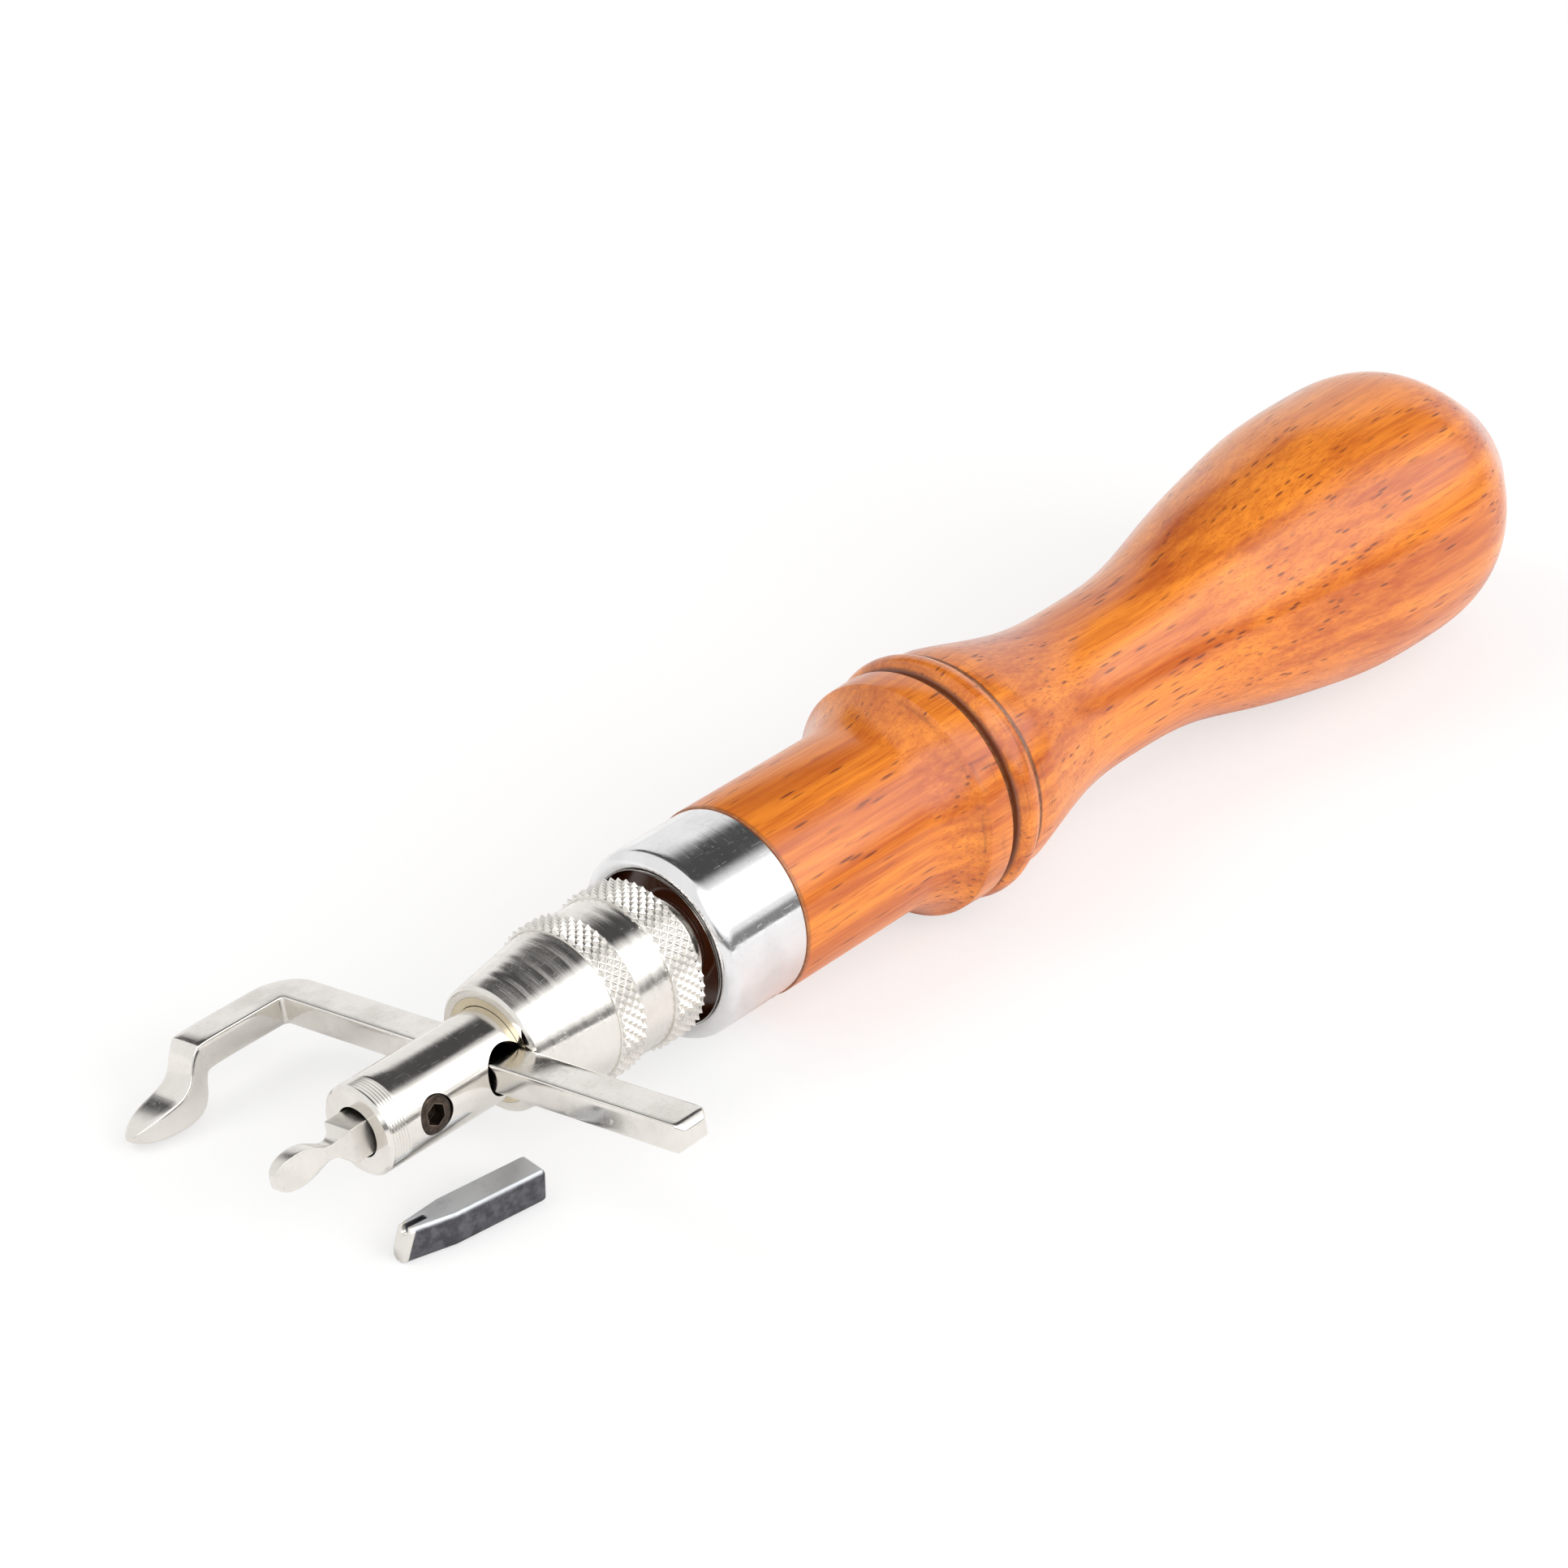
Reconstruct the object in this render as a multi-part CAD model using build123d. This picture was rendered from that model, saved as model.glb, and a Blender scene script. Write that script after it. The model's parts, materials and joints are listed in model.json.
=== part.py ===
from build123d import *
import math
import os

# Edge creaser with an adjustable guide, and a loose spare cutter beside it. Millimetres.
# The pieces are drawn in the tool's own frame: X runs along the axis from the tip to the
# handle's end with its zero at the ferrule's rear rim, Y points to the guide's foot.
# lay_down() then sets them on the ground as the tool lies.

# Handle, turned in one piece
barrel_proud = 0.17
barrel_l = 18.5
collar_x = 25.05
collar_r = 13.2
collar_w = 3.25
collar_taper = 0.12
groove_d = 0.75
groove_w = 1.0
bead_r = 13.75
bead_w = 3.6
band_r = 13.0
band_w = 2.7
band_round = 0.15
band_taper = 0.25
waist_r = 9.22
waist_x = 55.5
bulb_r = 16.15
bulb_x = 107.0
handle_end_x = 127.2

# Ferrule, a tube with its front lip turned in
ferrule_r = 10.25
ferrule_l = 10.9
ferrule_wall = 1.0
ferrule_mouth_r = 8.24
ferrule_mouth_round = 0.3
ferrule_shoulder_r = 1.4
spigot_recess = 2.3

# Spindle, a turned rod with a threaded stretch and a tang
rod_r = 4.62
rod_end_x = -50.53
rod_chamfer = 0.4
thread_rise = 0.38
thread_start_x = -27.0
tang_r = 3.1
tang_l = 46.0
tang_chamfer = 1.03

# Clamping nut and its thrust ring
nut_rear_x = -12.63
nut_l = 20.82
knurl_r = 8.65
knurl_chamfer = 0.25
rear_knurl_w = 3.95
neck_band_r = 8.05
neck_band_w = 4.15
front_knurl_w = 3.3
nose_wall = 1.1
nose_chamfer = 0.3
ring_proud = 0.5
ring_w = 1.5

# Guide, a bar bent into an arm with a foot
bar_w = 4.0
bar_t = 3.0
bar_edge = 0.35
bar_right_y = -29.3
arm_inner_y = 25.46
arm_bend_chamfer = 2.6
bar_end_chamfer = 0.6
ankle_x = -48.2
foot_drop = 4.9
foot_l = 7.3
foot_t = 2.6
foot_lap = 0.5
heel_back = 0.4
instep_l = 1.6
sole_rise_l = 3.0

# Curves of the foot, as steps from the ankle, the toe or the heel, heights from the datum beside each
ankle_curve = [(0, 0), (-1.0, -0.7)]
instep_curve = [(-1.5, 1.3), (-3.2, 0)]
toe_curve = [(2.4, 1.7), (0.4, 1.7), (0, 1.1), (0.7, 0.5), (sole_rise_l, 0)]
heel_curve = [(-2.6, 0), (-0.5, 0.8)]
back_curve = [(0.1, -1.6), (0, -0.5)]
boat_curve = [(3.8, 1.0), (1.2, 0.75), (0, 0.3)]

# Shank that both cutters share, its bore and its screw
shank_w = 3.6
shank_chamfer = 0.12
shank_in_bore = 10.6
screw_r = 2.0
screw_x = -44.65
screw_chamfer = 0.3
screw_socket_af = 2.0
screw_socket_depth = 1.4
screw_sunk = 0.17

# Creasing tip
shank_out = 2.2
neck_r = 0.75
neck_l = 1.6
neck_taper_l = 1.28
blade_l = 6.9
blade_h = 3.0
blade_rise = 0.3
blade_t = 1.4
blade_lap = 0.6

# Spare cutter, lying on the ground
spare_l = 16.2
spare_chamfer = 0.38
spare_end_chamfer = 0.5
spare_taper_l = 5.6
spare_nose_w = 1.7
spare_nose_foot = 0.4
spare_nose_slope = 1.3
spare_hole_r = 0.5
spare_hole_under = 0.35
spare_hole_l = 4.0
spare_x = -43.5
spare_y = -6.5
spare_yaw = -6.1

# Clearances
glue_gap = 0.08
thread_gap = 0.05
ring_gap = 0.06
clamp_gap = 0.05
screw_gap = 0.04
contact_gap = 0.02
bore_gap = 0.14
bore_end_gap = 0.4
cross_hole_gap = 0.15

# Sizes that follow from those above
barrel_r = ferrule_r + barrel_proud
spigot_r = ferrule_r - ferrule_wall - glue_gap
spigot_end_x = spigot_recess - ferrule_l
thread_r = rod_r + thread_rise
ring_r = thread_r + ring_proud
nose_r = ring_r + nose_wall
nut_face_x = nut_rear_x - nut_l
cone_x = nut_rear_x - rear_knurl_w - neck_band_w - front_knurl_w
cone_r = neck_band_r
ring_seat_x = nut_face_x + ring_w + contact_gap
bar_rear_x = nut_face_x - clamp_gap
bar_x = bar_rear_x - bar_w / 2
cross_hole_x = bar_x + cross_hole_gap
cross_hole_r = math.hypot(bar_w, bar_t) / 2 + cross_hole_gap
bore_r = math.hypot(shank_w / 2, shank_w / 2 - shank_chamfer) + bore_gap
bore_depth = shank_in_bore + bore_end_gap
bar_z = 0.1
bar_low_z = bar_z - bar_t / 2
bar_top_z = bar_z + bar_t / 2
arm_y = arm_inner_y + bar_w / 2
arm_outer_y = arm_inner_y + bar_w
heel_x = ankle_x - heel_back
toe_x = ankle_x - instep_l - foot_l
sole_front_x = toe_x + sole_rise_l
instep_z = bar_top_z - foot_drop
sole_z = instep_z - foot_t
bead_x = collar_x + collar_w + groove_w + bead_w / 2
screw_tip_y = -shank_w / 2 - contact_gap
screw_head_y = -rod_r + screw_sunk


def turned(outline):
    """Solid of revolution about the tool's axis from a closed outline of (x, radius)."""
    return revolve(make_face(outline), Axis.X, 360)


def rod(x_from, x_to, radius):
    """Plain cylinder along the tool's axis."""
    return Pos((x_from + x_to) / 2, 0, 0) * Rot(0, 90, 0) * Cylinder(radius, abs(x_to - x_from))


def between(a, b, part_x, part_r):
    """Point that lies part of the way from a to b along each of the two directions."""
    return (a[0] + part_x * (b[0] - a[0]), a[1] + part_r * (b[1] - a[1]))


def handle():
    """Turned grip: barrel, cove, collar, bead, band, waist and bulb."""
    cove_start = (barrel_l, barrel_r)
    arris = (collar_x, collar_r - collar_taper)
    collar_end = (collar_x + collar_w, collar_r)
    groove = (collar_x + collar_w + groove_w, collar_r - groove_d)
    bead_top = (bead_x, bead_r)
    bead_end = (bead_x + bead_w / 2, band_r - band_round)
    band_start = (bead_end[0] + band_round, band_r)
    band_end = (band_start[0] + band_w, band_r - band_taper)
    waist = (waist_x, waist_r)
    bulb = (bulb_x, bulb_r)
    end = (handle_end_x, 0)
    front = Polyline((handle_end_x, 0), (spigot_end_x, 0), (spigot_end_x, spigot_r),
                     (0, spigot_r), (0, barrel_r), cove_start)
    cove = Spline(cove_start, between(cove_start, arris, 0.55, 0.3), arris,
                  tangents=[(1, 0), (1, 1.1)])
    collar = Polyline(arris, collar_end, groove)
    bead = ThreePointArc(groove, bead_top, bead_end)
    band = Polyline(bead_end, band_start, band_end)
    hollow = Spline(band_end, between(band_end, waist, 0.25, 0.37), between(band_end, waist, 0.55, 0.78),
                    waist, tangents=[(1, -0.22), (1, 0)])
    swell = Spline(waist, between(waist, bulb, 0.25, 0.1), between(waist, bulb, 0.46, 0.47),
                   between(waist, bulb, 0.7, 0.83), bulb, tangents=[(1, 0), (1, 0)])
    dome = Spline(bulb, between(bulb, end, 0.44, 0.09), between(bulb, end, 0.74, 0.335), end,
                  tangents=[(1, 0), (0, -1)])
    grip = turned(front + cove + collar + bead + band + hollow + swell + dome)
    tang_hole = rod(spigot_end_x - 1, spigot_end_x + tang_l + glue_gap, tang_r + glue_gap)
    return grip - tang_hole


def ferrule():
    """Tube on the handle's spigot, closed down to a mouth at the front."""
    tube = rod(-ferrule_l, 0, ferrule_r) - rod(-ferrule_l + ferrule_wall, 1, ferrule_r - ferrule_wall)
    tube -= rod(-ferrule_l - 1, 0, ferrule_mouth_r)
    front = tube.edges().filter_by(GeomType.CIRCLE).group_by(Axis.X)[0].sort_by(SortBy.RADIUS)
    tube = fillet(front[-1], ferrule_shoulder_r)
    mouth = tube.edges().filter_by(GeomType.CIRCLE).group_by(Axis.X)[0].sort_by(SortBy.RADIUS)
    return fillet(mouth[0], ferrule_mouth_round)


def spindle():
    """Rod with the cutter's bore, the guide's cross hole, the screw's hole, thread and tang."""
    tang_start_x = spigot_end_x - contact_gap
    body = rod(rod_end_x, thread_start_x, rod_r)
    body = chamfer(body.edges().group_by(Axis.X)[0], rod_chamfer)
    body += rod(thread_start_x, tang_start_x, thread_r)
    tang = rod(tang_start_x, spigot_end_x + tang_l, tang_r)
    body += chamfer(tang.edges().group_by(Axis.X)[-1], tang_chamfer)
    body -= rod(rod_end_x - 1, rod_end_x + bore_depth, bore_r)
    body -= Pos(cross_hole_x, 0, 0) * Rot(90, 0, 0) * Cylinder(cross_hole_r, 4 * rod_r)
    screw_hole = Cylinder(screw_r, 2 * rod_r, align=(Align.CENTER, Align.CENTER, Align.MIN))
    return body - Pos(screw_x, 0, 0) * Rot(90, 0, 0) * screw_hole


def clamping_nut():
    """Knurled nut on the spindle's thread, tapered to a nose that bears on the guide's bar."""
    edge = knurl_chamfer
    neck_x = nut_rear_x - rear_knurl_w
    front_x = neck_x - neck_band_w
    hole_r = thread_r + thread_gap
    seat_r = ring_r + contact_gap
    outline = Polyline(
        (nut_rear_x, hole_r), (nut_rear_x, knurl_r - edge), (nut_rear_x - edge, knurl_r),
        (neck_x + edge, knurl_r), (neck_x, neck_band_r), (front_x, neck_band_r),
        (front_x - edge, knurl_r), (cone_x + edge, knurl_r), (cone_x, cone_r),
        (nut_face_x + nose_chamfer, nose_r), (nut_face_x, nose_r - nose_chamfer),
        (nut_face_x, seat_r), (ring_seat_x, seat_r), (ring_seat_x, hole_r), (nut_rear_x, hole_r))
    return turned(outline)


def thrust_ring():
    """Loose ring in the nut's nose, so that the turning nut doesn't drag the guide round."""
    ring = rod(nut_face_x, nut_face_x + ring_w, ring_r)
    return ring - rod(nut_face_x - 1, nut_face_x + ring_w + 1, rod_r + ring_gap)


def guide():
    """Bar through the spindle, bent into a forward arm that ends in a rounded foot."""
    front_x = bar_rear_x - bar_w
    plan = Polyline(
        (bar_rear_x, bar_right_y), (bar_rear_x, arm_outer_y - arm_bend_chamfer),
        (bar_rear_x - arm_bend_chamfer, arm_outer_y), (ankle_x, arm_outer_y), (ankle_x, arm_inner_y),
        (front_x, arm_inner_y), (front_x, bar_right_y), (bar_rear_x, bar_right_y))
    bent = Pos(0, 0, bar_low_z) * extrude(make_face(plan), bar_t)
    bent = chamfer(bent.edges().group_by(Axis.Y)[0], bar_end_chamfer)
    long_edges = bent.edges().filter_by(Axis.Y).filter_by(lambda e: e.length > bar_w + bar_t)
    bent = fillet(long_edges, bar_edge)
    above = [(ankle_x + x, bar_top_z + z) for x, z in ankle_curve]
    instep = [(ankle_x + x, instep_z + z) for x, z in instep_curve]
    toe = [(toe_x + x, sole_z + z) for x, z in toe_curve]
    heel = [(heel_x + x, sole_z + z) for x, z in heel_curve]
    back = [(heel_x + x, bar_low_z + z) for x, z in back_curve]
    root = [(ankle_x + foot_lap, bar_low_z), (ankle_x + foot_lap, bar_top_z)]
    side = Polyline(*above, *instep, *toe, *heel, *back, *root, close=True)
    foot = Pos(0, arm_outer_y, 0) * extrude(Plane.XZ * make_face(side), bar_w)
    half = bar_w / 2
    right = [(toe_x + x, arm_y - share * half) for x, share in boat_curve]
    left = [(toe_x + x, arm_y + share * half) for x, share in reversed(boat_curve)]
    stern_x = ankle_x + bar_w
    boat = Polyline((stern_x, arm_y - half), *right, *left, (stern_x, arm_y + half), close=True)
    foot = foot & (Pos(0, 0, sole_z - 1) * extrude(make_face(boat), bar_top_z - sole_z + 2))
    return bent + foot


def grub_screw():
    """Socket set screw that holds the shank in the spindle's bore."""
    length = screw_tip_y - screw_head_y
    screw = Cylinder(screw_r - screw_gap, length, align=(Align.CENTER, Align.CENTER, Align.MIN))
    screw = chamfer(screw.edges().filter_by(GeomType.CIRCLE), screw_chamfer)
    key = extrude(RegularPolygon(screw_socket_af / 2, 6, major_radius=False), screw_socket_depth)
    screw -= Pos(0, 0, length - screw_socket_depth) * key
    return Pos(screw_x, screw_tip_y, 0) * Rot(90, 0, 0) * screw


def creasing_tip():
    """Square shank in the bore, drawn down to a thin neck and an upright oval blade."""
    shoulder_x = rod_end_x - shank_out
    shank_l = shank_in_bore + shank_out
    shank = Pos(shoulder_x + shank_l / 2, 0, 0) * Box(shank_l, shank_w, shank_w)
    shank = chamfer(shank.edges().filter_by(Axis.X), shank_chamfer)
    taper = Rot(0, -90, 0) * Cone(shank_w / 2 - contact_gap, neck_r, neck_taper_l)
    taper = Pos(shoulder_x - neck_taper_l / 2, 0, 0) * taper
    blade_x = shoulder_x - neck_l - blade_l / 2 + blade_lap
    neck = rod(shoulder_x, blade_x, neck_r)
    half_l = blade_l / 2
    blunt = neck_r
    rim = ThreePointArc((-half_l, blunt), (0, blade_h / 2), (half_l, blunt))
    sole = ThreePointArc((half_l, -blunt), (0, -blade_h / 2), (-half_l, -blunt))
    outline = rim + Line(rim @ 1, sole @ 0) + sole + Line(sole @ 1, rim @ 0)
    blade = extrude(Plane.XZ * make_face(outline), blade_t / 2, both=True)
    return shank + taper + neck + Pos(blade_x, 0, blade_rise) * blade


def spare_cutter():
    """Loose cutter with the same shank, hollow-ground at the nose, lying flat."""
    body = Pos(0, 0, shank_w / 2) * Box(spare_l, shank_w, shank_w)
    body = chamfer(body.edges().filter_by(Axis.X), spare_chamfer)
    rear = body.edges().filter_by(GeomType.LINE).group_by(Axis.X)[-1]
    body = chamfer(rear, spare_end_chamfer)
    nose_x = -spare_l / 2
    before_x = nose_x - 1
    cut_w = (shank_w - spare_nose_w) / 2
    cut_w_before = cut_w * (spare_taper_l + 1) / spare_taper_l
    for side in (-1, 1):
        y_full = side * shank_w / 2
        wedge = Polyline((before_x, y_full), (before_x, y_full - side * cut_w_before),
                         (nose_x + spare_taper_l, y_full), close=True)
        body -= extrude(make_face(wedge), 2 * shank_w, both=True)
    over_z = shank_w + 1
    slope = Polyline((before_x, over_z), (nose_x - 0.3, spare_nose_foot),
                     (nose_x + spare_nose_slope, over_z), close=True)
    body -= extrude(Plane.XZ * make_face(slope), 2 * shank_w, both=True)
    hole_z = shank_w - spare_hole_r - spare_hole_under
    hole = Cylinder(spare_hole_r, 2 * spare_hole_l)
    return body - Pos(nose_x, 0, hole_z) * Rot(0, 90, 0) * hole


def foot_contact():
    """Where the foot meets the ground, as (x, y, z) in the tool's frame."""
    return (sole_front_x, arm_outer_y, sole_z)


def resting_turn():
    """Pitch and roll of the tool as it lies on bulb, bead and foot, and its axis's height."""
    pitch = math.atan2(bulb_r - bead_r, bulb_x - bead_x)
    height = bead_r / math.cos(pitch) - bead_x * math.tan(pitch)
    x, y, z = foot_contact()
    above = height * math.cos(pitch) + x * math.sin(pitch)
    roll = math.atan2(y, -z) - math.acos(above / math.hypot(y, z))
    return pitch, roll, height


def lay_down(piece):
    """Set a piece of the tool on the ground, still under the ferrule's rear rim."""
    pitch, roll, height = resting_turn()
    turn = Rot(0, -math.degrees(pitch), 0) * Rot(-math.degrees(roll), 0, 0)
    return Pos(0, 0, height) * turn * piece


def main():
    os.makedirs("parts", exist_ok=True)
    pieces = {
        "handle": lay_down(handle()),
        "ferrule": lay_down(ferrule()),
        "spindle": lay_down(spindle()),
        "clamping_nut": lay_down(clamping_nut()),
        "thrust_ring": lay_down(thrust_ring()),
        "guide": lay_down(guide()),
        "grub_screw": lay_down(grub_screw()),
        "creasing_tip": lay_down(creasing_tip()),
        "spare_cutter": Pos(spare_x, spare_y, 0) * Rot(0, 0, spare_yaw) * spare_cutter(),
    }
    solids = [solid for piece in pieces.values() for solid in piece.solids()]
    box = Compound(solids).bounding_box()
    centre = box.center()
    for name, piece in pieces.items():
        placed = Pos(-centre.X, -centre.Y, -box.min.Z) * piece
        export_step(Compound(placed.solids()), f"parts/{name}.step")


main()
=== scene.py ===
"""Edge creaser with an adjustable guide, and a loose spare cutter beside it.

The pieces are modelled in millimetres in the tool's own frame, X along the axis from the tip
to the handle's end with its zero at the ferrule's rear rim, Y towards the guide's foot, and
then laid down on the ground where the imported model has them.
"""
import json
import math

import bpy
from mathutils import Matrix, Vector


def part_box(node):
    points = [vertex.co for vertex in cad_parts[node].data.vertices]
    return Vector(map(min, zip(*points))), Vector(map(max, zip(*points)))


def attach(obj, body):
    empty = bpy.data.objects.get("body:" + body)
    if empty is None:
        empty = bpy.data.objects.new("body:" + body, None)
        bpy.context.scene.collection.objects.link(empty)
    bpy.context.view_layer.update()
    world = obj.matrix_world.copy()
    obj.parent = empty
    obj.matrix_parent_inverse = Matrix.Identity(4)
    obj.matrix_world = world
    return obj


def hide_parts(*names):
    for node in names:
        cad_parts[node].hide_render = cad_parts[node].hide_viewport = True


bl_info = {
    "name": "Edge creaser",
    "version": (1, 0, 0),
    "blender": (4, 5, 0),
    "location": "3D View > Sidebar > Creaser",
    "description": "Builds an edge creaser with a turned handle, a guide and a spare cutter",
    "category": "Add Mesh",
}

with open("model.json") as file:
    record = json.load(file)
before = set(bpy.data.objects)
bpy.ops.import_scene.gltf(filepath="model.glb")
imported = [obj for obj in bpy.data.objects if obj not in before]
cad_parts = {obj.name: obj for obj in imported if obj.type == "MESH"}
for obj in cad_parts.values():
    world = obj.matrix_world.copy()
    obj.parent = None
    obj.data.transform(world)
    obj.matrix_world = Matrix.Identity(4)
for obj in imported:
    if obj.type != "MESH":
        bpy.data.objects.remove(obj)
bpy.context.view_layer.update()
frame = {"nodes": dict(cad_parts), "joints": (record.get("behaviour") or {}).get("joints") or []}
MM = 0.001
FULL_TURN = 2 * math.pi
SCREW_X = -44.65
SPARE_YAW = math.radians(-6.1)
# Painted shade: the dark colour given to the inner faces of bores and mouths, standing in for the
# shade that falls there.
HOLLOW_SHADE = (0.09, 0.065, 0.05, 1)
GROUND_STEEL = (0.74, 0.72, 0.68, 1)
# Painted sheen: the lighter colour given to the spare cutter's top face, standing in for the light it
# catches there.
TOP_SHEEN_STEEL = (0.60, 0.62, 0.65, 1)


# ---------------------------------------------------------------- where the tool lies

def joint(name):
    """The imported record's joint of that name."""
    return next(j for j in frame["joints"] if j["name"] == name)


def tool_frame():
    """Matrix from the tool's frame in millimetres to the row frame in metres."""
    along = Vector(joint("nut_turn")["axis"]).normalized()
    to_foot = Vector(joint("guide_slide")["axis"]).normalized()
    up = along.cross(to_foot)
    hinge_station = -20
    origin = Vector(joint("nut_turn")["pos_m"]) - along * hinge_station * MM
    turn = Matrix((along, to_foot, up)).transposed().to_4x4()
    return Matrix.Translation(origin) @ turn @ Matrix.Scale(MM, 4)


def spare_frame():
    """Matrix from the spare cutter's frame in millimetres, nose at -X, to the row frame."""
    low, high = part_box("spare_cutter")
    middle = Vector(((low.x + high.x) / 2, (low.y + high.y) / 2, low.z))
    return Matrix.Translation(middle) @ Matrix.Rotation(SPARE_YAW, 4, "Z") @ Matrix.Scale(MM, 4)


TOOL = tool_frame()
SPARE = spare_frame()


def tool_points(node):
    """The CAD node's points as (station, radius) in the tool's frame."""
    to_tool = TOOL.inverted()
    points = [to_tool @ v.co for v in frame["nodes"][node].data.vertices]
    return [(p.x, math.hypot(p.y, p.z)) for p in points]


def outer_profile(node, start, end, apart):
    """Outline of a turned node between two stations, at least `apart` from point to point."""
    best = {}
    for x, r in tool_points(node):
        if start <= x <= end:
            key = round(x / apart)
            if key not in best or r > best[key][1]:
                best[key] = (x, r)
    return [best[key] for key in sorted(best)]


# ---------------------------------------------------------------- shaping with operators

def start_clean():
    """Leave edit mode and deselect everything."""
    if bpy.context.object and bpy.context.object.mode != "OBJECT":
        bpy.ops.object.mode_set(mode="OBJECT")
    bpy.ops.object.select_all(action="DESELECT")


def edit(obj, select="NONE"):
    """Enter edit mode on one piece, with all or nothing of it selected."""
    start_clean()
    obj.select_set(True)
    bpy.context.view_layer.objects.active = obj
    bpy.ops.object.mode_set(mode="EDIT")
    bpy.ops.mesh.select_mode(type="VERT")
    bpy.ops.mesh.select_all(action="SELECT" if select == "ALL" else "DESELECT")


def pick(obj, mode, wanted):
    """Select the vertices, edges or faces that `wanted` accepts, and stay in edit mode."""
    bpy.ops.object.mode_set(mode="EDIT")
    bpy.ops.mesh.select_mode(type=mode)
    bpy.ops.mesh.select_all(action="DESELECT")
    bpy.ops.object.mode_set(mode="OBJECT")
    mesh = obj.data
    items = {"VERT": mesh.vertices, "EDGE": mesh.edges, "FACE": mesh.polygons}[mode]
    for item in items:
        if wanted(item):
            item.select = True
    bpy.ops.object.mode_set(mode="EDIT")


def apply(obj, kind, **values):
    """Add a modifier with these values and apply it."""
    start_clean()
    obj.select_set(True)
    bpy.context.view_layer.objects.active = obj
    modifier = obj.modifiers.new(kind.lower(), kind)
    for name, value in values.items():
        setattr(modifier, name, value)
    bpy.ops.object.modifier_apply(modifier=modifier.name)


def round_edges(obj, width, segments=2, angle=30):
    """Round every edge sharper than the angle."""
    apply(obj, "BEVEL", width=width, segments=segments, limit_method="ANGLE",
          angle_limit=math.radians(angle), harden_normals=False)


def smooth(obj, angle=35):
    """Shade smooth, apart from edges sharper than the angle."""
    start_clean()
    obj.select_set(True)
    bpy.context.view_layer.objects.active = obj
    bpy.ops.object.shade_smooth_by_angle(angle=math.radians(angle))


def lay_down(obj, place):
    """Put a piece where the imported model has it, with its place in its mesh."""
    start_clean()
    obj.select_set(True)
    bpy.context.view_layer.objects.active = obj
    obj.matrix_world = place
    bpy.ops.object.transform_apply(location=True, rotation=True, scale=True)


def close_up(obj, merge=0.002):
    """Merge doubled points and turn every face outwards."""
    edit(obj, "ALL")
    bpy.ops.mesh.remove_doubles(threshold=merge)
    bpy.ops.mesh.normals_make_consistent(inside=False)
    bpy.ops.object.mode_set(mode="OBJECT")


def turned(name, outline, steps=128):
    """Spin an outline of (station, radius) about the tool's axis into a closed piece."""
    start_clean()
    x, r = outline[0]
    bpy.ops.mesh.primitive_plane_add(size=1, location=(0, 0, 0), enter_editmode=True)
    obj = bpy.context.object
    obj.name = name
    bpy.ops.mesh.select_mode(type="VERT")
    bpy.ops.mesh.select_all(action="SELECT")
    bpy.ops.mesh.merge(type="CENTER")
    bpy.ops.transform.translate(value=(x, 0, r))
    for x_next, r_next in outline[1:]:
        step = (x_next - x, 0, r_next - r)
        bpy.ops.mesh.extrude_vertices_move(TRANSFORM_OT_translate={"value": step})
        x, r = x_next, r_next
    bpy.ops.mesh.select_all(action="SELECT")
    bpy.ops.mesh.spin(steps=steps, angle=FULL_TURN, center=(0, 0, 0), axis=(1, 0, 0))
    close_up(obj)
    return obj


def extrude_to(change, stretch=(1, 1, 1), tilt=0.0, centre=None):
    """Extrude the selected end face by a step, then turn it about Y and stretch it."""
    bpy.ops.mesh.extrude_region_move(TRANSFORM_OT_translate={"value": change})
    if tilt:
        bpy.ops.transform.rotate(value=tilt, orient_axis="Y", center_override=centre)
    if stretch != (1, 1, 1):
        bpy.ops.transform.resize(value=stretch, center_override=centre)


def drawn_out(sections, face_y):
    """Carry the selected upright end face of four corners along a chain of sections.

    A section is (top, bottom, width): two (x, z) points and the width across, and the first
    one is where the face stands. The face stays level across, with its middle at face_y.
    """
    top, bottom, width = sections[0]
    for top_next, bottom_next, width_next in sections[1:]:
        old = ((top[0] + bottom[0]) / 2, (top[1] + bottom[1]) / 2)
        new = ((top_next[0] + bottom_next[0]) / 2, (top_next[1] + bottom_next[1]) / 2)
        centre = (new[0], face_y, new[1])
        lean = math.atan2(top[0] - bottom[0], top[1] - bottom[1])
        lean_next = math.atan2(top_next[0] - bottom_next[0], top_next[1] - bottom_next[1])
        grow = math.dist(top_next, bottom_next) / math.dist(top, bottom)
        extrude_to((new[0] - old[0], 0, new[1] - old[1]),
                   (grow, width_next / width, grow), lean - lean_next, centre)
        top, bottom, width = top_next, bottom_next, width_next


def cut_away(obj, cutter):
    """Cut one piece out of another and remove the cutter."""
    apply(obj, "BOOLEAN", operation="DIFFERENCE", solver="EXACT", object=cutter)
    bpy.data.objects.remove(cutter)


def ridged(start, end, pitch, height):
    """Outline between two (station, radius) points with uneven ridges left by the lathe."""
    count = round(abs(end[0] - start[0]) / pitch)
    points = [start]
    for i in range(1, count):
        part = i / count
        uneven = math.sin(i * 12.9898) * math.cos(i * 4.1414)
        points.append((start[0] + (end[0] - start[0]) * part,
                       start[1] + (end[1] - start[1]) * part + height * uneven))
    return points + [end]


def cylinder(name, start, end, radius, sides=64):
    """A cylinder between two points, as a cutter or a blank."""
    start_clean()
    a, b = Vector(start), Vector(end)
    turn = (b - a).to_track_quat("Z", "Y").to_euler()
    bpy.ops.mesh.primitive_cylinder_add(vertices=sides, radius=radius, depth=(b - a).length,
                                        location=(a + b) / 2, rotation=turn)
    obj = bpy.context.object
    obj.name = name
    bpy.ops.object.transform_apply(location=True, rotation=True, scale=True)
    return obj


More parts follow.
